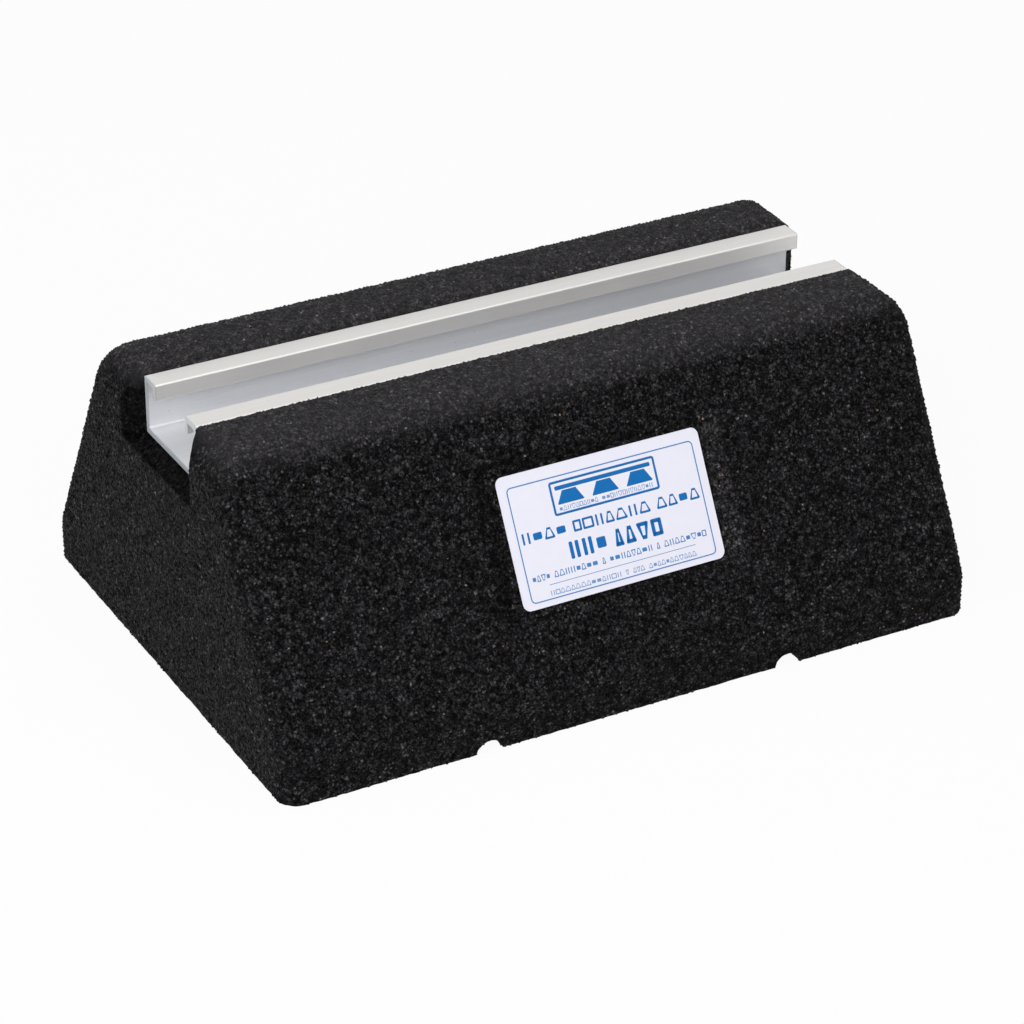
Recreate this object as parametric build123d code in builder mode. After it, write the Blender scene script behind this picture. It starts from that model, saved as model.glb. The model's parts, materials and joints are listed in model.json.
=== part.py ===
from build123d import *
import os

# Roof support foot: a moulded granulated-rubber block with an aluminium channel let into its top.
# Millimetres. X runs along the block, Y across it, +Z is up. The origin is the centre of the base.

# --- Driving dimensions -------------------------------------------------------------------------

# Rubber block
foot_length = 250.0          # along X, between the upright end faces
foot_width = 180.0           # along Y, across the foot
foot_height = 100.0          # base to top face
band_height = 14.8           # upright band round the foot of the long sides
top_width = 88.4             # across the top, where the sloping sides would meet it sharp
top_round = 14.8             # rounding of every top edge
corner_round = 7.0           # rounding of the four upright corners

# Aluminium channel rail
rail_width = 39.0
rail_height = 20.0
rail_wall = 1.8              # web, side walls and flanges
lip_wall = 2.0               # lips turned down from the flanges
flange_width = 8.3           # side wall's outer face to the lip's inner face
lip_drop = 5.7               # flange's top face to the lip's lower edge
rail_recess = 2.3            # the block's top face stands this much above the rail's
rail_setback_left = 6.0      # the rail stops this far inside each end face of the block
rail_setback_right = 7.7
rail_edge_round = 0.6        # outside corners of the extrusion and the edges of its lips
root_round = 1.2             # inside corners between the web and the side walls
rail_side_gap = 0.1          # slot wall to the rail's side wall, each side
slot_lead = 4.4              # the block's top dips to the rail's over this width, each side

# Flared mouth where the slot meets each end face
mouth_flare = 6.5            # wider than the slot by this on each side
mouth_drop = 3.2             # lower than the slot's floor by this

# Pocket in the front slope
pocket_depth = 2.0
pocket_rim_length = 89.2
pocket_rim_height = 53.5
pocket_floor_length = 76.8
pocket_floor_height = 44.8
pocket_shift = 1.1           # along the block from its middle

# Sticker on the pocket's floor
sticker_length = 73.1
sticker_height = 42.9
sticker_thickness = 0.3
sticker_corner = 2.5
sticker_shift = 1.8          # along the block from its middle
sticker_drop = 0.3           # down the slope from its middle
sticker_turn = 0.22          # degrees: stuck on by hand, so not quite square to the pocket

# Drainage grooves across the underside
groove_width = 9.0
groove_depth = 3.8
groove_spacing = 109.0       # centre to centre

# --- Derived dimensions -------------------------------------------------------------------------

slope_run = (foot_width - top_width) / 2
slope_rise = foot_height - band_height
slope_normal = Vector(0, -slope_rise, slope_run).normalized()
slope_middle = Vector(0, -(foot_width + top_width) / 4, (foot_height + band_height) / 2)
rail_top = foot_height - rail_recess
rail_start = rail_setback_left - foot_length / 2
rail_end = foot_length / 2 - rail_setback_right
slot_floor = rail_top - rail_height
slot_width = rail_width + 2 * rail_side_gap
groove_radius = (groove_width**2 / 4 + groove_depth**2) / (2 * groove_depth)


def slope_plane(shift, depth):
    """Plane parallel to the front slope and sunk below it by depth, its X along the block."""
    origin = slope_middle + Vector(shift, 0, 0) - slope_normal * depth
    return Plane(origin=origin, x_dir=(1, 0, 0), z_dir=slope_normal)


# --- Rubber block -------------------------------------------------------------------------------

with BuildPart() as rubber_block:
    # Section run along X: upright bands, sloping sides, flat top
    with BuildSketch(Plane.YZ):
        with BuildLine():
            Polyline(
                (-foot_width / 2, 0),
                (foot_width / 2, 0),
                (foot_width / 2, band_height),
                (top_width / 2, foot_height),
                (-top_width / 2, foot_height),
                (-foot_width / 2, band_height),
                close=True,
            )
        make_face()
    extrude(amount=foot_length / 2, both=True)

    # Rounded top edges, then the upright corners; each corner's rounding runs on over the top
    fillet(rubber_block.faces().sort_by(Axis.Z)[-1].edges(), radius=top_round)
    end_edges = rubber_block.faces().filter_by(Axis.X).edges().filter_by(GeomType.LINE)
    fillet(end_edges.filter_by(Axis.Y, reverse=True), radius=corner_round)

    # Slot for the rail, open through both ends
    with BuildSketch(Plane.YZ.offset(-foot_length / 2)):
        with Locations((0, slot_floor)):
            Rectangle(slot_width, rail_height + rail_recess, align=(Align.CENTER, Align.MIN))
    extrude(amount=foot_length, mode=Mode.SUBTRACT)

    # The slot flares from each end of the rail out to the end face
    for rail_face, end_face in ((rail_start, -foot_length / 2), (rail_end, foot_length / 2)):
        with BuildSketch(Plane.YZ.offset(rail_face)):
            with Locations((0, slot_floor)):
                Rectangle(slot_width, rail_height + rail_recess, align=(Align.CENTER, Align.MIN))
        with BuildSketch(Plane.YZ.offset(end_face)):
            with Locations((0, slot_floor - mouth_drop)):
                Rectangle(
                    slot_width + 2 * mouth_flare,
                    rail_height + rail_recess + mouth_drop,
                    align=(Align.CENTER, Align.MIN),
                )
        loft(mode=Mode.SUBTRACT)

    # The top dips to the rail's top along both sides of the slot
    with BuildSketch(Plane.YZ.offset(-foot_length / 2)):
        with BuildLine():
            Polyline(
                (-slot_width / 2, rail_top),
                (slot_width / 2, rail_top),
                (slot_width / 2 + slot_lead, foot_height),
                (-slot_width / 2 - slot_lead, foot_height),
                close=True,
            )
        make_face()
    extrude(amount=foot_length, mode=Mode.SUBTRACT)

    # Shallow pocket with sloping walls in the front slope
    with BuildSketch(slope_plane(pocket_shift, 0)):
        Rectangle(pocket_rim_length, pocket_rim_height)
    with BuildSketch(slope_plane(pocket_shift, pocket_depth)):
        Rectangle(pocket_floor_length, pocket_floor_height)
    loft(mode=Mode.SUBTRACT)

    # Two drainage grooves, round in section
    with BuildSketch(Plane.XZ):
        with GridLocations(groove_spacing, 0, 2, 1):
            with Locations((0, groove_depth - groove_radius)):
                Circle(groove_radius)
    extrude(amount=foot_width / 2, both=True, mode=Mode.SUBTRACT)

# --- Aluminium channel rail ---------------------------------------------------------------------

with BuildPart() as channel_rail:
    # Open channel section, its lips turned down inside the mouth
    with BuildSketch(Plane.YZ.offset(rail_start)) as rail_section:
        with BuildLine():
            half_outline = Polyline(
                (0, slot_floor),
                (rail_width / 2, slot_floor),
                (rail_width / 2, rail_top),
                (rail_width / 2 - flange_width, rail_top),
                (rail_width / 2 - flange_width, rail_top - lip_drop),
                (rail_width / 2 - flange_width + lip_wall, rail_top - lip_drop),
                (rail_width / 2 - flange_width + lip_wall, rail_top - rail_wall),
                (rail_width / 2 - rail_wall, rail_top - rail_wall),
                (rail_width / 2 - rail_wall, slot_floor + rail_wall),
                (0, slot_floor + rail_wall),
            )
            mirror(half_outline, about=Plane.YZ)
        make_face()
        # Inside roots, then the corners of the web, the lips' lower edges and the top edges
        fillet(rail_section.vertices().group_by(Axis.Y)[1], radius=root_round)
        rows = rail_section.vertices().group_by(Axis.Y)
        fillet(rows[0] + rows[-3] + rows[-1], radius=rail_edge_round)
    extrude(amount=rail_end - rail_start)

# --- Sticker ------------------------------------------------------------------------------------

with BuildPart() as label:
    with BuildSketch(slope_plane(sticker_shift, pocket_depth)):
        with Locations((0, -sticker_drop)):
            RectangleRounded(sticker_length, sticker_height, sticker_corner, rotation=sticker_turn)
    extrude(amount=sticker_thickness)

# --- Export -------------------------------------------------------------------------------------

os.makedirs("parts", exist_ok=True)
rubber_block.part.label = "rubber_block"
export_step(rubber_block.part, "parts/rubber_block.step")
channel_rail.part.label = "channel_rail"
export_step(channel_rail.part, "parts/channel_rail.step")
label.part.label = "label"
export_step(label.part, "parts/label.step")
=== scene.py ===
import json
import math
import random
import bpy
from mathutils import Matrix, Vector

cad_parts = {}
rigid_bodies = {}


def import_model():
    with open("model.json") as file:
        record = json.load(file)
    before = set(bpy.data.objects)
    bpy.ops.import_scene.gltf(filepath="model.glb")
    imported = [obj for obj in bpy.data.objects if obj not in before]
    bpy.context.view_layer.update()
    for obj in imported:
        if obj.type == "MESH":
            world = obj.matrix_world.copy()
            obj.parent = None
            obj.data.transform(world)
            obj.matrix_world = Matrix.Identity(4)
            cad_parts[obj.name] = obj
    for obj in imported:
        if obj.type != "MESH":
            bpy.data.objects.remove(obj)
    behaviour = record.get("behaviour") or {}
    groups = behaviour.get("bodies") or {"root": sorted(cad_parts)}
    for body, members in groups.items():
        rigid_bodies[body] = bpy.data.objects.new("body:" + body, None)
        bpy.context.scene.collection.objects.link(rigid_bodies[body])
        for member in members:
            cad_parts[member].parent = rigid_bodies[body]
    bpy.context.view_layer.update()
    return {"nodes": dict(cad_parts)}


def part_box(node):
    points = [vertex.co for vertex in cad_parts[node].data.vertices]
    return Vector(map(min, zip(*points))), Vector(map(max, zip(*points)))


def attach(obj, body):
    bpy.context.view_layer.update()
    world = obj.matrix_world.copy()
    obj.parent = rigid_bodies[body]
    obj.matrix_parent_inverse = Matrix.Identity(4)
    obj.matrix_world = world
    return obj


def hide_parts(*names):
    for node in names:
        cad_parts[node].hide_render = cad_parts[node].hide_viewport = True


# Roof support foot: granulated-rubber block, aluminium channel, printed sticker. Metres.

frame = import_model()
MM = 0.001

# --- Sizes shared with the construction ---------------------------------------------------------

rubber_low, rubber_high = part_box("rubber_block")
rail_low, rail_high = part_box("channel_rail")
sticker_low, sticker_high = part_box("label")

SLOPE = math.atan2(85.2, 45.8)          # the long sides' slope from the horizontal
STICKER_TURN = math.radians(0.22)       # the sticker isn't quite square
STICKER_THICKNESS = 0.3 * MM
MOUTH_HALF = 26.3 * MM                  # the slot's flared mouths, at the end faces
MOUTH_FLOOR = 74.3 * MM
POCKET_MIDDLE = (sticker_low + sticker_high) / 2 - Vector((0.7 * MM, 0, 0))
POCKET_SIDE = 41.5 * MM                 # from its middle to halfway up a side wall
POCKET_TOP = 24.6 * MM                  # and to halfway up its top wall
POCKET_SIDE_HALF = 3.0 * MM             # half the width that a side wall covers
POCKET_TOP_HALF = 2.0 * MM

# --- Working by hand: selection and modifiers ---------------------------------------------------


def only(piece):
    """Selects just this piece and makes it active."""
    bpy.ops.object.select_all(action="DESELECT")
    piece.select_set(True)
    bpy.context.view_layer.objects.active = piece


def finish_modifier(piece, kind, name, **settings):
    """Adds a modifier with these settings and applies it."""
    only(piece)
    modifier = piece.modifiers.new(name, kind)
    for setting, value in settings.items():
        setattr(modifier, setting, value)
    bpy.ops.object.modifier_apply(modifier=modifier.name)


def settle(piece, place):
    """Puts a piece's place into its mesh and leaves its object at the origin."""
    piece.data.transform(place @ piece.matrix_world)
    piece.matrix_world = Matrix.Identity(4)


# --- Material building --------------------------------------------------------------------------


class Recipe:
    """A material with its nodes added and linked by short calls."""

    def __init__(self, name):
        self.material = bpy.data.materials.new(name)
        self.material.use_nodes = True
        self.tree = self.material.node_tree
        self.shader = self.tree.nodes["Principled BSDF"]
        self.place = self.node("ShaderNodeTexCoord").outputs["Object"]

    def node(self, kind, settings=None, **inputs):
        made = self.tree.nodes.new(kind)
        for setting, value in (settings or {}).items():
            setattr(made, setting, value)
        for socket, value in inputs.items():
            self.feed(made.inputs[socket.replace("_", " ")], value)
        return made

    def feed(self, socket, value):
        if isinstance(value, bpy.types.NodeSocket):
            self.tree.links.new(value, socket)
        else:
            socket.default_value = value

    def maths(self, operation, a, b=0.0):
        made = self.node("ShaderNodeMath", {"operation": operation})
        self.feed(made.inputs[0], a)
        self.feed(made.inputs[1], b)
        return made.outputs[0]

    def product(self, a, b):
        return self.maths("MULTIPLY", a, b)

    def blend(self, factor, a, b):
        made = self.node("ShaderNodeMix", {"data_type": "RGBA"})
        self.feed(made.inputs[0], factor)
        self.feed(made.inputs[6], a)
        self.feed(made.inputs[7], b)
        return made.outputs[2]

    def span(self, value, low, high, to_low=0.0, to_high=1.0):
        made = self.node("ShaderNodeMapRange")
        for socket, number in zip(made.inputs, (value, low, high, to_low, to_high)):
            self.feed(socket, number)
        return made.outputs[0]

    def scaled(self, colour, factor):
        made = self.node("ShaderNodeVectorMath", {"operation": "SCALE"})
        self.feed(made.inputs[0], colour)
        self.feed(made.inputs["Scale"], factor)
        return made.outputs[0]

    def parts(self, vector):
        """The x, y and z of a vector."""
        return self.node("ShaderNodeSeparateXYZ", Vector=vector).outputs

    def tones(self, cells):
        """Three random numbers for each cell."""
        return self.node("ShaderNodeSeparateColor", Color=cells.outputs["Color"]).outputs

    def cells(self, grain):
        """Voronoi cells about one grain across."""
        return self.node("ShaderNodeTexVoronoi", Vector=self.place, Scale=1 / grain)

    def facets(self, cells, steepness):
        """Height of cells that each lean their own way, like broken grains; it is in cell sizes."""
        lean = self.node("ShaderNodeVectorMath", {"operation": "SUBTRACT"})
        self.feed(lean.inputs[0], cells.outputs["Color"])
        self.feed(lean.inputs[1], (0.5, 0.5, 0.5))
        offset = self.node("ShaderNodeVectorMath", {"operation": "SUBTRACT"})
        self.feed(offset.inputs[0], self.place)
        self.feed(offset.inputs[1], cells.outputs["Position"])
        height = self.node("ShaderNodeVectorMath", {"operation": "DOT_PRODUCT"})
        self.feed(height.inputs[0], lean.outputs[0])
        self.feed(height.inputs[1], offset.outputs[0])
        return self.maths("MULTIPLY", height.outputs["Value"], steepness / MM)

    def noise(self, grain, detail=2.0, vector=None):
        made = self.node("ShaderNodeTexNoise", Vector=vector or self.place, Scale=1 / grain, Detail=detail)
        return made.outputs["Fac"]

    def in_mouths(self):
        """1 on the walls of the slot's flared mouths, which are pressed smooth; there the rubber gets
        painted shade, as these recesses lie in shade.
        """
        place = self.parts(self.place)
        outward = self.maths("ABSOLUTE", place[0])
        sideways = self.maths("ABSOLUTE", place[1])
        along = self.span(outward, rail_high.x, rail_high.x + 2 * MM)
        across = self.span(sideways, MOUTH_HALF - 0.3 * MM, MOUTH_HALF + 1.2 * MM, 1.0, 0.0)
        up = self.span(place[2], MOUTH_FLOOR - 1.2 * MM, MOUTH_FLOOR + 0.3 * MM)
        below = self.span(place[2], rail_high.z - 1 * MM, rail_high.z, 1.0, 0.0)
        return self.product(self.product(along, across), self.product(up, below))

    def near(self, value, middle, reach):
        """1 where a value is within reach of its middle, with soft ends."""
        away = self.maths("ABSOLUTE", self.maths("SUBTRACT", value, middle))
        return self.span(away, reach - 0.8 * MM, reach + 0.8 * MM, 1.0, 0.0)

    def pocket_painted_light_and_shade(self, right, left, top):
        """Painted light and shade for the sloping sides of the pocket that the sticker lies in: the right
        wall, facing the light from the left, is painted paler, the left and top walls darker.
        """
        place = self.parts(self.place)
        across = self.maths("SUBTRACT", place[0], POCKET_MIDDLE.x)
        forward = self.product(self.maths("SUBTRACT", place[1], POCKET_MIDDLE.y), math.cos(SLOPE))
        upward = self.product(self.maths("SUBTRACT", place[2], POCKET_MIDDLE.z), math.sin(SLOPE))
        up = self.maths("ADD", forward, upward)
        front = self.maths("LESS_THAN", place[1], 0.0)
        beside = self.product(self.near(up, 0.0, POCKET_TOP + 1.5 * MM), front)
        above = self.product(self.near(across, 0.0, POCKET_SIDE), front)
        walls = (
            (across, POCKET_SIDE, POCKET_SIDE_HALF, beside, right),
            (across, -POCKET_SIDE, POCKET_SIDE_HALF, beside, left),
            (up, POCKET_TOP, POCKET_TOP_HALF, above, top),
        )
        total = 0.0
        for value, middle, reach, within, shade in walls:
            here = self.product(self.near(value, middle, reach), within)
            total = self.maths("ADD", total, self.product(here, shade))
        return total

    def bump(self, height, distance, strength=1.0):
        made = self.node("ShaderNodeBump", Height=height, Distance=distance, Strength=strength)
        return made.outputs["Normal"]


GRAIN = 1.1 * MM
CRUMB = 0.45 * MM
CLUMP = 2.4 * MM
GRAIN_SHARE, CRUMB_SHARE, CLUMP_SHARE = 0.32, 0.45, 0.25    # of a grain's shade, 0 dark to 1 pale
GAP_PAINTED_SHADE = 0.30                        # painted shade, darker towards a grain's edge where the gaps between grains lie in shade
# painted shade, darker on the walls of the slot's recessed mouths
MOUTH_PAINTED_SHADE = 0.25
POCKET_PAINTED_LIGHT_AND_SHADE = (0.14, -0.10, -0.05)    # painted light on its right wall, painted shade on its left and top walls
RUBBER_DARKEST = 0.00170                # the colour at shade 0
RUBBER_RANGE = 88.0                     # shade 1 is this many times paler
RUBBER_SPECULAR = 0.018
TOP_SHEEN_AND_DUST = 0.025                        # painted sheen, as the top catches more light, with a dusty film: together they add this much grey
TOP_SHEEN_AND_DUST_FROM, TOP_SHEEN_AND_DUST_FULL = rubber_high.z - 8.0 * MM, rubber_high.z - 0.8 * MM
FLECK_ABOVE = 0.99985                   # the few crumbs whose random number is higher are tan


def rubber_shade(r, grains, crumb_tone):
    """How pale each place is: random by grain and crumb, with painted shade in the gaps between grains and
    in the slot's mouths, and painted light and shade on the pocket's walls.
    """
    clumps = r.noise(CLUMP, 2.0)
    own_shade = r.node("ShaderNodeAttribute", {"attribute_name": "crumb_shade"}).outputs["Fac"]
    shade = r.product(r.tones(grains)[0], GRAIN_SHARE)
    shade = r.maths("ADD", shade, r.product(crumb_tone[0], CRUMB_SHARE))
    shade = r.maths("ADD", shade, r.span(clumps, 0.3, 0.7, 0.0, CLUMP_SHARE))
    shade = r.maths("ADD", shade, own_shade)
    # painted shade in the gaps between grains
    shade = r.maths("SUBTRACT", shade, r.product(grains.outputs["Distance"], GAP_PAINTED_SHADE))
    # painted shade in the slot's mouths
    shade = r.maths("SUBTRACT", shade, r.product(r.in_mouths(), MOUTH_PAINTED_SHADE))
    # painted light and shade on the pocket's walls
    return r.maths("ADD", shade, r.pocket_painted_light_and_shade(*POCKET_PAINTED_LIGHT_AND_SHADE))


def rubber_granulate():
    """Black crumb rubber: angular grains of many shades with painted shade in the gaps between them, and a
    few tan flecks.
    """
    r = Recipe("rubber_granulate")
    grains = r.cells(GRAIN)
    crumbs = r.cells(CRUMB)
    crumb_tone = r.tones(crumbs)
    shade = rubber_shade(r, grains, crumb_tone)
    level = r.product(r.maths("POWER", RUBBER_RANGE, shade), RUBBER_DARKEST)
    # painted sheen and dust: the top is painted paler where light from above falls, partly a real dusty
    # film
    sheen_and_dust = r.span(r.parts(r.place)[2], TOP_SHEEN_AND_DUST_FROM, TOP_SHEEN_AND_DUST_FULL)
    level = r.product(level, r.span(sheen_and_dust, 0.0, 1.0, 1.0, 1.15))
    level = r.maths("ADD", level, r.product(sheen_and_dust, TOP_SHEEN_AND_DUST))
    hue = r.blend(r.tones(grains)[1], (1.07, 0.985, 0.985, 1), (1.01, 0.975, 1.09, 1))
    fleck = r.maths("GREATER_THAN", crumb_tone[2], FLECK_ABOVE)
    colour = r.blend(fleck, r.scaled(hue, level), (0.30, 0.19, 0.11, 1))
    r.feed(r.shader.inputs["Base Color"], colour)
    r.feed(r.shader.inputs["Roughness"], r.span(crumb_tone[1], 0.0, 1.0, 0.40, 0.75))
    r.shader.inputs["Specular IOR Level"].default_value = RUBBER_SPECULAR
    height = r.maths("ADD", r.facets(grains, 0.9), r.facets(crumbs, 0.6))
    r.feed(r.shader.inputs["Normal"], r.bump(height, 1 * MM))
    return r.material


LIP_FOOT = rail_high.z - 5.7 * MM       # the lower edge of the rail's turned-down lips


def channel_painted_light(r, colour):
    """Inside, below the lips, the aluminium gets a painted bluish reflection and painted light that is
    brighter at one end and falls off towards the other.
    """
    place = r.parts(r.place)
    inside = r.span(place[2], LIP_FOOT - 0.2 * MM, LIP_FOOT + 0.2 * MM, 1.0, 0.0)
    tinted = r.node("ShaderNodeVectorMath", {"operation": "MULTIPLY"})
    r.feed(tinted.inputs[0], colour)
    r.feed(tinted.inputs[1], r.blend(inside, (1, 1, 1, 1), (0.95, 0.985, 1.04, 1)))
    # painted light, brighter at the left end and falling off to the right
    painted_light_falloff = r.span(place[0], rail_low.x, rail_high.x, 1.12, 0.90)
    return r.scaled(tinted.outputs[0], r.span(inside, 0.0, 1.0, 1.0, painted_light_falloff))


def sawn_ends_painted_shade(r, colour):
    """The sawn ends get painted shade with a bluish painted reflection."""
    along = r.parts(r.place)[0]
    from_left = r.maths("SUBTRACT", along, rail_low.x)
    from_right = r.maths("SUBTRACT", rail_high.x, along)
    cut = r.span(r.maths("MINIMUM", from_left, from_right), 0.05 * MM, 0.5 * MM, 0.55, 0.0)
    # painted shade and bluish painted reflection on the ends
    return r.blend(cut, colour, (0.36, 0.42, 0.46, 1))


def mill_aluminium():
    """Extruded aluminium: warm and bright, with faint lengthwise draw lines and a few specks."""
    r = Recipe("mill_aluminium")
    lengthwise = r.node("ShaderNodeMapping", Vector=r.place, Scale=(0.02, 1, 1)).outputs["Vector"]
    lines = r.noise(0.35 * MM, 3.0, lengthwise)
    broad = r.noise(4 * MM, 2.0, lengthwise)
    clouding = r.noise(14 * MM, 3.0)
    bright, dull = (0.735, 0.715, 0.695, 1), (0.63, 0.615, 0.60, 1)
    colour = r.blend(r.span(lines, 0.3, 0.7, 0.0, 0.45), bright, dull)
    colour = r.blend(r.span(broad, 0.4, 0.7, 0.0, 0.3), colour, (0.64, 0.64, 0.64, 1))
    colour = channel_painted_light(r, colour)
    speck = r.maths("LESS_THAN", r.cells(5 * MM).outputs["Distance"], 0.045)
    colour = r.blend(r.product(speck, 0.5), colour, (0.35, 0.35, 0.35, 1))
    r.feed(r.shader.inputs["Base Color"], sawn_ends_painted_shade(r, colour))
    r.shader.inputs["Metallic"].default_value = 0.7
    cloudy = r.span(clouding, 0.3, 0.7, -0.03, 0.03)
    r.feed(r.shader.inputs["Roughness"], r.maths("ADD", r.span(lines, 0.3, 0.7, 0.40, 0.50), cloudy))
    r.feed(r.shader.inputs["Normal"], r.bump(lines, 0.02 * MM, 0.4))
    return r.material


def sticker_film():
    """Bluish white printed film with a soft sheen."""
    r = Recipe("sticker_film")
    mottle = r.noise(3 * MM, 3.0)
    colour = r.blend(r.span(mottle, 0.3, 0.7), (0.745, 0.735, 0.820, 1), (0.760, 0.750, 0.835, 1))
    r.feed(r.shader.inputs["Base Color"], colour)
    r.feed(r.shader.inputs["Roughness"], r.span(mottle, 0.3, 0.7, 0.42, 0.50))
    r.shader.inputs["Specular IOR Level"].default_value = 0.35
    r.feed(r.shader.inputs["Normal"], r.bump(r.noise(1.2 * MM, 2.0), 0.02 * MM, 0.3))
    return r.material


def printed_ink(name, colour):
    """Screen-printed ink with a slightly uneven film."""
    r = Recipe(name)
    paler = tuple(min(1.0, c * 1.15 + 0.01) for c in colour[:3]) + (1,)
    uneven = r.noise(0.6 * MM, 2.0)
    r.feed(r.shader.inputs["Base Color"], r.blend(r.span(uneven, 0.3, 0.7, 0.0, 0.5), colour, paler))
    r.feed(r.shader.inputs["Roughness"], r.span(uneven, 0.3, 0.7, 0.4, 0.5))
    r.shader.inputs["Specular IOR Level"].default_value = 0.15
    return r.material


# --- Rubber block -------------------------------------------------------------------------------

SKIN_GRAIN = 1.4 * MM                   # the size of the skin's faces
LUMP, LUMP_DEPTH = 3.2 * MM, 0.30 * MM
PIT, PIT_DEPTH = 1.6 * MM, 0.20 * MM


def granular_block(rubber):
    """The moulded block, its skin roughened by the grains pressed against the mould."""
    only(frame["nodes"]["rubber_block"])
    bpy.ops.object.duplicate()
    block = bpy.context.active_object
    for tag in list(block.keys()):
        del block[tag]
    block.parent = None
    block.name = "moulded_rubber"
    bpy.ops.object.mode_set(mode="EDIT")
    bpy.ops.mesh.select_all(action="SELECT")
    bpy.ops.mesh.remove_doubles(threshold=0.002 * MM)
    bpy.ops.mesh.normals_make_consistent(inside=False)
    bpy.ops.object.mode_set(mode="OBJECT")
    share = (rubber_high.x - rubber_low.x) / (256 * SKIN_GRAIN)
    finish_modifier(block, "REMESH", "even_skin", mode="SHARP", octree_depth=8, scale=share)

    lumps = bpy.data.textures.new("grain_lumps", "VORONOI")
    lumps.noise_scale = LUMP
    pits = bpy.data.textures.new("crumb_pits", "CLOUDS")
    pits.noise_scale = PIT
    finish_modifier(block, "DISPLACE", "lumps", texture=lumps, strength=-LUMP_DEPTH, mid_level=0.0)
    finish_modifier(block, "DISPLACE", "pits", texture=pits, strength=-PIT_DEPTH, mid_level=0.0)
    block.data.materials.clear()
    block.data.materials.append(rubber)
    return block


CRUMB_FOOT, CRUMB_HEAD, CRUMB_DEPTH = 0.80 * MM, 0.45 * MM, 0.55 * MM    # radii and height
CRUMB_KNOCK = 0.16 * MM                 # how far each corner is knocked out of place
CRUMB_SPACING = 1.2 * MM
CRUMB_TILT = 0.25                       # radians, either way
CRUMB_SCALES = (0.50, 1.10)
CRUMB_SHADES = (-0.15, 0.30)            # added to the rubber's shade


def crumb_shapes(count, rubber):
    """A few angular crumbs, each a low stub of three or four sides knocked out of shape."""
    shelf = bpy.data.collections.new("crumb_shapes")
    for number in range(count):
        bpy.ops.object.select_all(action="DESELECT")
        bpy.ops.mesh.primitive_cone_add(
            vertices=3 + number % 2, radius1=CRUMB_FOOT, radius2=CRUMB_HEAD, depth=CRUMB_DEPTH
        )
        crumb = bpy.context.active_object
        crumb.name = f"crumb_{number}"
        bpy.ops.object.mode_set(mode="EDIT")
        bpy.ops.mesh.select_all(action="SELECT")
        bpy.ops.transform.vertex_random(offset=CRUMB_KNOCK, seed=number + 1)
        bpy.ops.object.mode_set(mode="OBJECT")
        crumb.data.materials.append(rubber)
        for home in list(crumb.users_collection):
            home.objects.unlink(crumb)
        shelf.objects.link(crumb)
    return shelf


class Sower:
    """A geometry-nodes group that sows crumbs over chosen faces of a skin."""

    def __init__(self, name):
        self.group = bpy.data.node_groups.new(name, "GeometryNodeTree")
        self.group.interface.new_socket("Geometry", in_out="INPUT", socket_type="NodeSocketGeometry")
        self.group.interface.new_socket("Geometry", in_out="OUTPUT", socket_type="NodeSocketGeometry")
        self.skin = self.node("NodeGroupInput").outputs[0]
        self.result = self.node("NodeGroupOutput").inputs[0]

    def node(self, kind, settings=None):
        made = self.group.nodes.new(kind)
        for setting, value in (settings or {}).items():
            setattr(made, setting, value)
        return made

    def feed(self, socket, value):
        if isinstance(value, bpy.types.NodeSocket):
            self.group.links.new(value, socket)
        else:
            socket.default_value = value

    def maths(self, operation, a, b=0.0):
        made = self.node("ShaderNodeMath", {"operation": operation})
        self.feed(made.inputs[0], a)
        self.feed(made.inputs[1], b)
        return made.outputs[0]

    def parts(self, vector):
        """The x, y and z of a vector."""
        made = self.node("ShaderNodeSeparateXYZ")
        self.feed(made.inputs[0], vector)
        return made.outputs

    def both(self, *tests):
        result = tests[0]
        for test in tests[1:]:
            result = self.maths("MULTIPLY", result, test)
        return result

    def within(self, low, high):
        """Places held inside a box, as the mould's walls hold the crumbs."""
        place = self.node("GeometryNodeInputPosition").outputs[0]
        for operation, limit in (("MAXIMUM", low), ("MINIMUM", high)):
            made = self.node("ShaderNodeVectorMath", {"operation": operation})
            self.feed(made.inputs[0], place)
            self.feed(made.inputs[1], tuple(limit))
            place = made.outputs[0]
        return place

    def chance(self, low, high, seed, kind="FLOAT"):
        made = self.node("FunctionNodeRandomValue", {"data_type": kind})
        first = 0 if kind == "FLOAT_VECTOR" else 2
        self.feed(made.inputs[first], low)
        self.feed(made.inputs[first + 1], high)
        self.feed(made.inputs["Seed"], seed)
        return made.outputs[0 if kind == "FLOAT_VECTOR" else 1]


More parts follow.
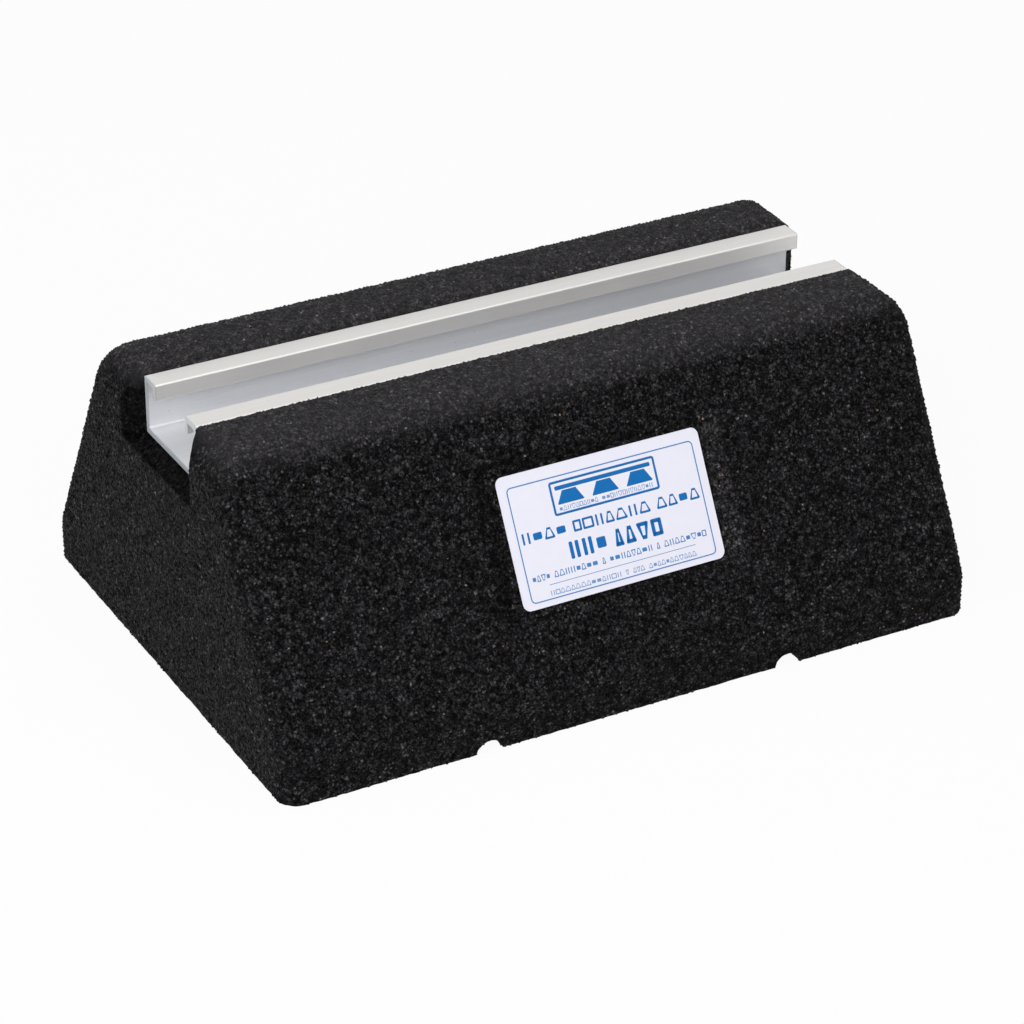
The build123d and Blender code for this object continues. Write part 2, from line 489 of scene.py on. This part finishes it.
def crumb_ground(s, facing):
    """1 where crumbs go: faces that look the chosen way, but not under the rail or in its mouths."""
    normal = s.parts(s.node("GeometryNodeInputNormal").outputs[0])
    place = s.parts(s.node("GeometryNodeInputPosition").outputs[0])
    side = s.maths("ABSOLUTE", place[1])
    along = s.maths("ABSOLUTE", place[0])
    in_slot = s.both(
        s.maths("LESS_THAN", side, rail_high.y + 1.0 * MM),
        s.maths("GREATER_THAN", place[2], rail_low.z - 1.5 * MM),
        s.maths("LESS_THAN", place[2], rail_high.z - 1.0 * MM),
        s.maths("LESS_THAN", along, rail_high.x),
    )
    in_mouth = s.both(
        s.maths("LESS_THAN", side, MOUTH_HALF + 0.3 * MM),
        s.maths("GREATER_THAN", place[2], MOUTH_FLOOR - 0.3 * MM),
        s.maths("GREATER_THAN", along, rail_high.x - 0.5 * MM),
        s.maths("LESS_THAN", along, rubber_high.x - 1.2 * MM),
    )
    towards_front = s.maths("LESS_THAN", normal[1], -0.45)
    towards_back = s.maths("GREATER_THAN", normal[1], 0.45)
    off_base = s.maths("GREATER_THAN", normal[2], -0.5)
    sides = {
        "front": towards_front,
        "back": towards_back,
        "rest": s.both(s.maths("SUBTRACT", 1.0, towards_front), s.maths("SUBTRACT", 1.0, towards_back)),
    }
    clear = s.both(s.maths("SUBTRACT", 1.0, in_slot), s.maths("SUBTRACT", 1.0, in_mouth))
    return s.maths("GREATER_THAN", s.both(clear, off_base, sides[facing]), 0.5)


def crumb_instances(s, points, shelf, seed):
    """A crumb of random shape, size, tilt and shade on each point."""
    shapes = s.node("GeometryNodeCollectionInfo")
    s.feed(shapes.inputs["Collection"], shelf)
    s.feed(shapes.inputs["Separate Children"], True)
    s.feed(shapes.inputs["Reset Children"], True)
    turn = s.node("FunctionNodeRotateRotation", {"rotation_space": "LOCAL"})
    s.feed(turn.inputs[0], points.outputs["Rotation"])
    tumble = s.node("FunctionNodeEulerToRotation")
    low, high = (-CRUMB_TILT, -CRUMB_TILT, 0.0), (CRUMB_TILT, CRUMB_TILT, math.tau)
    s.feed(tumble.inputs[0], s.chance(low, high, seed + 1, "FLOAT_VECTOR"))
    s.feed(turn.inputs[1], tumble.outputs[0])
    bedded = s.node("GeometryNodeInstanceOnPoints")
    s.feed(bedded.inputs["Points"], points.outputs["Points"])
    s.feed(bedded.inputs["Instance"], shapes.outputs[0])
    s.feed(bedded.inputs["Pick Instance"], True)
    s.feed(bedded.inputs["Rotation"], turn.outputs[0])
    s.feed(bedded.inputs["Scale"], s.chance(*CRUMB_SCALES, seed + 2))
    shaded = s.node("GeometryNodeStoreNamedAttribute", {"data_type": "FLOAT", "domain": "INSTANCE"})
    s.feed(shaded.inputs["Geometry"], bedded.outputs[0])
    s.feed(shaded.inputs["Name"], "crumb_shade")
    s.feed(shaded.inputs["Value"], s.chance(*CRUMB_SHADES, seed + 3))
    return shaded.outputs[0]


def sow_crumbs(block, shelf, name, facing, seed):
    """Crumbs bedded in the block's skin where it faces one way, and pressed flat by the mould."""
    only(block)
    bpy.ops.object.duplicate()
    crumbs = bpy.context.active_object
    crumbs.name = name

    s = Sower(name)
    points = s.node("GeometryNodeDistributePointsOnFaces", {"distribute_method": "POISSON"})
    s.feed(points.inputs["Mesh"], s.skin)
    s.feed(points.inputs["Selection"], crumb_ground(s, facing))
    s.feed(points.inputs["Distance Min"], CRUMB_SPACING)
    s.feed(points.inputs["Density Max"], 2.5 / CRUMB_SPACING**2)
    s.feed(points.inputs["Seed"], seed)
    real = s.node("GeometryNodeRealizeInstances")
    s.feed(real.inputs[0], crumb_instances(s, points, shelf, seed))
    pressed = s.node("GeometryNodeSetPosition")
    s.feed(pressed.inputs["Geometry"], real.outputs[0])
    s.feed(pressed.inputs["Position"], s.within(rubber_low, rubber_high))
    s.feed(s.result, pressed.outputs[0])
    finish_modifier(crumbs, "NODES", "sow", node_group=s.group)
    return crumbs


# --- Sticker print ------------------------------------------------------------------------------

INK_THICKNESS = 0.03 * MM


def rounded_field(x, y, width, height, corner):
    """A flat field with rounded corners, in the sticker's own plane."""
    bpy.ops.object.select_all(action="DESELECT")
    bpy.ops.mesh.primitive_plane_add(size=1, location=(x, y, 0))
    field = bpy.context.active_object
    field.scale = (width, height, 1)
    bpy.ops.object.transform_apply(location=True, rotation=True, scale=True)
    bpy.ops.object.mode_set(mode="EDIT")
    bpy.ops.mesh.select_all(action="SELECT")
    bpy.ops.mesh.bevel(affect="VERTICES", offset=corner, offset_type="OFFSET", segments=4)
    bpy.ops.object.mode_set(mode="OBJECT")
    return field


def raise_ink(field):
    """Gives a flat field the thickness of printed ink."""
    only(field)
    bpy.ops.object.mode_set(mode="EDIT")
    bpy.ops.mesh.select_all(action="SELECT")
    bpy.ops.mesh.extrude_region_move(TRANSFORM_OT_translate={"value": (0, 0, INK_THICKNESS)})
    bpy.ops.mesh.select_all(action="SELECT")
    bpy.ops.mesh.normals_make_consistent(inside=False)
    bpy.ops.object.mode_set(mode="OBJECT")
    return field


def ink_bar(x, y, width, height, corner=None):
    """A solid printed bar with rounded ends."""
    return raise_ink(rounded_field(x, y, width, height, corner or height * 0.3))


def ink_border(x, y, width, height, line, corner):
    """A rounded outline of one line's width."""
    field = rounded_field(x, y, width, height, corner)
    only(field)
    bpy.ops.object.mode_set(mode="EDIT")
    bpy.ops.mesh.select_all(action="SELECT")
    bpy.ops.mesh.inset(thickness=line)
    bpy.ops.mesh.delete(type="FACE")
    bpy.ops.object.mode_set(mode="OBJECT")
    return raise_ink(field)


def taper(mark, y, share, upper=True):
    """Narrows the upper or lower side of a mark."""
    middle = sum(corner.co.x for corner in mark.data.vertices) / len(mark.data.vertices)
    for corner in mark.data.vertices:
        if (corner.co.y > y) == upper:
            corner.co.x = middle + (corner.co.x - middle) * share
    return mark


def ink_row(y, height, words, gap, counts, stroke, seed):
    """A row of small outlined and solid shapes, in groups, where a line of words would be."""
    chance = random.Random(seed)
    marks = []
    left = -(sum(words) + gap * (len(words) - 1)) / 2
    for word, count in zip(words, counts):
        shares = [chance.uniform(0.85, 1.15) for _ in range(count)]
        unit = word / sum(shares)
        for share in shares:
            broad = max(share * unit - stroke * 0.7, stroke)
            place = (left + share * unit / 2, y, broad, height)
            kind = chance.choice(("roof", "roof", "funnel", "box", "block", "bars"))
            corner = min(broad, height) * 0.12
            if kind == "bars" or broad < stroke * 2.4:
                marks.append(ink_bar(place[0] - broad * 0.28, y, stroke, height, stroke * 0.3))
                marks.append(ink_bar(place[0] + broad * 0.28, y, stroke, height, stroke * 0.3))
            elif kind == "block":
                marks.append(ink_bar(place[0], y, broad * 0.8, height * 0.62, corner))
            elif kind == "box":
                marks.append(ink_border(*place, stroke, corner))
            else:
                marks.append(taper(ink_border(*place, stroke, corner), y, 0.42, kind == "roof"))
            left += share * unit
        left += gap
    return marks


def ink_foot(x, y, width, height):
    """A plain drawing of a support foot: a block with sloping sides."""
    return taper(ink_bar(x, y, width, height, height * 0.06), y, 0.55)


def join_pieces(parts, name, material):
    """One piece with one material, made of several."""
    bpy.ops.object.select_all(action="DESELECT")
    for part in parts:
        part.select_set(True)
    bpy.context.view_layer.objects.active = parts[0]
    bpy.ops.object.join()
    joined = bpy.context.active_object
    joined.name = name
    joined.data.materials.clear()
    joined.data.materials.append(material)
    return joined


def sticker_place():
    """Turns the sticker's own plane to where its printed face lies on the block."""
    tilt = Matrix.Rotation(SLOPE, 4, "X") @ Matrix.Rotation(STICKER_TURN, 4, "Z")
    outward = Vector((0, -math.sin(SLOPE), math.cos(SLOPE)))
    middle = (sticker_low + sticker_high) / 2
    return Matrix.Translation(middle + outward * STICKER_THICKNESS / 2) @ tilt


def sticker_print():
    """Generic print: borders, a drawing of feet under a rail, and rows of plain shapes."""
    strong = printed_ink("strong_blue_ink", (0.001, 0.125, 0.380, 1))
    middling = printed_ink("middling_blue_ink", (0.050, 0.190, 0.440, 1))
    faint = printed_ink("faint_blue_ink", (0.150, 0.270, 0.500, 1))
    feet = [ink_foot(x * MM, 10.6 * MM, 9.4 * MM, 4.2 * MM) for x in (-12.3, 0.1, 12.5)]
    bar = ink_bar(0.1 * MM, 13.7 * MM, 34.4 * MM, 1.3 * MM)
    box = ink_border(0.1 * MM, 10.6 * MM, 38.1 * MM, 10.8 * MM, 0.75 * MM, 0.9 * MM)
    groups = [16.6 * MM, 28.3 * MM, 16.2 * MM]
    title = ink_row(0.8 * MM, 3.6 * MM, groups, 1.9 * MM, (4, 7, 4), 0.68 * MM, 3)
    heading = ink_row(-6.3 * MM, 5.5 * MM, [14.4 * MM, 18.2 * MM], 1.9 * MM, (3, 4), 1.25 * MM, 5)
    bold = join_pieces([*feet, bar, box, *title, *heading], "sticker_print_bold", strong)
    border = ink_border(0.1 * MM, -1.0 * MM, 67.3 * MM, 37.2 * MM, 0.38 * MM, 1.6 * MM)
    groups = [6.5 * MM, 16.0 * MM, 1.4 * MM, 15.8 * MM, 1.4 * MM, 15.8 * MM]
    details = ink_row(-12.2 * MM, 2.0 * MM, groups, 1.3 * MM, (4, 8, 1, 8, 1, 8), 0.33 * MM, 7)
    plain = join_pieces([border, *details], "sticker_print_plain", middling)
    under = ink_row(7.1 * MM, 1.5 * MM, [14.0 * MM, 18.8 * MM], 1.2 * MM, (10, 13), 0.22 * MM, 13)
    rule = ink_bar(0.4 * MM, -15.0 * MM, 53 * MM, 0.22 * MM)
    groups = [25.8 * MM, 1.2 * MM, 4.4 * MM, 17.6 * MM]
    last_row = ink_row(-17.7 * MM, 1.6 * MM, groups, 1.4 * MM, (14, 1, 3, 11), 0.26 * MM, 9)
    fine = join_pieces([*under, rule, *last_row], "sticker_print_fine", faint)
    for piece in (bold, plain, fine):
        settle(piece, sticker_place())
    return bold, plain, fine


# --- Studio -------------------------------------------------------------------------------------

CAMERA_AIM = Vector((-2.39, -7.71, 30.96)) * MM
CAMERA_DISTANCE = 1.2525
CAMERA_AZIMUTH = math.radians(-28.511)
CAMERA_ELEVATION = math.radians(29.423)
CAMERA_ROLL = math.radians(0.186)
CAMERA_LENS = 133.61


def studio_camera():
    """A long lens above and to the left of the front, all in focus."""
    data = bpy.data.cameras.new("studio_camera")
    data.lens = CAMERA_LENS
    data.sensor_width = 36
    data.clip_start, data.clip_end = 0.05, 30
    camera = bpy.data.objects.new("studio_camera", data)
    bpy.context.scene.collection.objects.link(camera)
    facing = (
        Matrix.Rotation(CAMERA_AZIMUTH, 4, "Z")
        @ Matrix.Rotation(math.pi / 2 - CAMERA_ELEVATION, 4, "X")
        @ Matrix.Rotation(CAMERA_ROLL, 4, "Z")
    )
    back = facing.to_3x3() @ Vector((0, 0, 1))
    camera.matrix_world = Matrix.Translation(CAMERA_AIM + back * CAMERA_DISTANCE) @ facing
    bpy.context.scene.camera = camera


def soft_light(name, place, size, power, tint=(1, 1, 1)):
    """A square soft box that faces the foot."""
    data = bpy.data.lights.new(name, "AREA")
    data.shape = "SQUARE"
    data.size = size
    data.energy = power
    data.color = tint
    light = bpy.data.objects.new(name, data)
    bpy.context.scene.collection.objects.link(light)
    light.location = place
    light.rotation_euler = (Vector((0, 0, 0.06)) - Vector(place)).to_track_quat("-Z", "Y").to_euler()


def seen_as_background(tree):
    """1 for the rays that show the backdrop: straight from the camera, or by mirror or glass."""
    path = tree.nodes.new("ShaderNodeLightPath")
    total = None
    for ray in ("Is Camera Ray", "Is Glossy Ray", "Is Transmission Ray"):
        if total is None:
            total = path.outputs[ray]
            continue
        most = tree.nodes.new("ShaderNodeMath")
        most.operation = "MAXIMUM"
        tree.links.new(total, most.inputs[0])
        tree.links.new(path.outputs[ray], most.inputs[1])
        total = most.outputs[0]
    return total


AMBIENT = 0.25


def studio_world():
    """White backdrop where it is seen, and a dimmer white that lights the foot."""
    world = bpy.data.worlds.new("studio_world")
    bpy.context.scene.world = world
    world.use_nodes = True
    tree = world.node_tree
    tree.nodes.clear()
    ambient = tree.nodes.new("ShaderNodeBackground")
    ambient.inputs["Color"].default_value = (1, 1, 1, 1)
    ambient.inputs["Strength"].default_value = AMBIENT
    backdrop = tree.nodes.new("ShaderNodeBackground")
    backdrop.inputs["Color"].default_value = (1, 1, 1, 1)
    backdrop.inputs["Strength"].default_value = 1.0
    mix = tree.nodes.new("ShaderNodeMixShader")
    out = tree.nodes.new("ShaderNodeOutputWorld")
    tree.links.new(seen_as_background(tree), mix.inputs[0])
    tree.links.new(ambient.outputs[0], mix.inputs[1])
    tree.links.new(backdrop.outputs[0], mix.inputs[2])
    tree.links.new(mix.outputs[0], out.inputs[0])


FLOOR_GLOW = 0.94


def studio_floor():
    """White floor: mostly backdrop white to the camera, with the foot's soft shadow kept."""
    bpy.ops.object.select_all(action="DESELECT")
    bpy.ops.mesh.primitive_plane_add(size=24, location=(0, 0, 0))
    floor = bpy.context.active_object
    floor.name = "studio_floor"
    material = bpy.data.materials.new("studio_floor")
    material.use_nodes = True
    tree = material.node_tree
    tree.nodes.clear()
    paint = tree.nodes.new("ShaderNodeBsdfDiffuse")
    paint.inputs["Color"].default_value = (0.85, 0.85, 0.85, 1)
    white = tree.nodes.new("ShaderNodeEmission")
    white.inputs["Strength"].default_value = 1.0
    share = tree.nodes.new("ShaderNodeMath")
    share.operation = "MULTIPLY"
    share.inputs[1].default_value = FLOOR_GLOW
    tree.links.new(seen_as_background(tree), share.inputs[0])
    mix = tree.nodes.new("ShaderNodeMixShader")
    out = tree.nodes.new("ShaderNodeOutputMaterial")
    tree.links.new(share.outputs[0], mix.inputs[0])
    tree.links.new(paint.outputs[0], mix.inputs[1])
    tree.links.new(white.outputs[0], mix.inputs[2])
    tree.links.new(mix.outputs[0], out.inputs[0])
    floor.data.materials.append(material)


def studio_lights():
    """Soft boxes: most light comes from the left and the front left."""
    soft_light("left_box", (-1.9, -0.5, 1.1), 0.8, 22, (0.98, 0.99, 1.0))
    soft_light("front_left_box", (-1.2, -1.7, 1.3), 1.0, 22, (0.98, 0.99, 1.0))
    soft_light("front_box", (0.2, -2.1, 1.4), 1.4, 11, (0.97, 0.985, 1.0))
    soft_light("overhead_box", (0.0, -0.1, 2.2), 1.6, 8)


bpy.context.scene.view_settings.view_transform = "Standard"

# --- Assembly -----------------------------------------------------------------------------------

studio_camera()
studio_world()
studio_floor()
studio_lights()

rubber = rubber_granulate()
block = granular_block(rubber)
shelf = crumb_shapes(6, rubber)
sown = [
    sow_crumbs(block, shelf, "front_crumbs", "front", 11),
    sow_crumbs(block, shelf, "back_crumbs", "back", 23),
    sow_crumbs(block, shelf, "top_and_end_crumbs", "rest", 37),
]
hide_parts("rubber_block")
for piece in [block, *sown]:
    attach(piece, "root")

for node, material in (("channel_rail", mill_aluminium()), ("label", sticker_film())):
    skin = frame["nodes"][node]
    skin.data.materials.clear()
    skin.data.materials.append(material)

for piece in sticker_print():
    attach(piece, "root")

for scrap in list(shelf.objects):
    bpy.data.objects.remove(scrap)
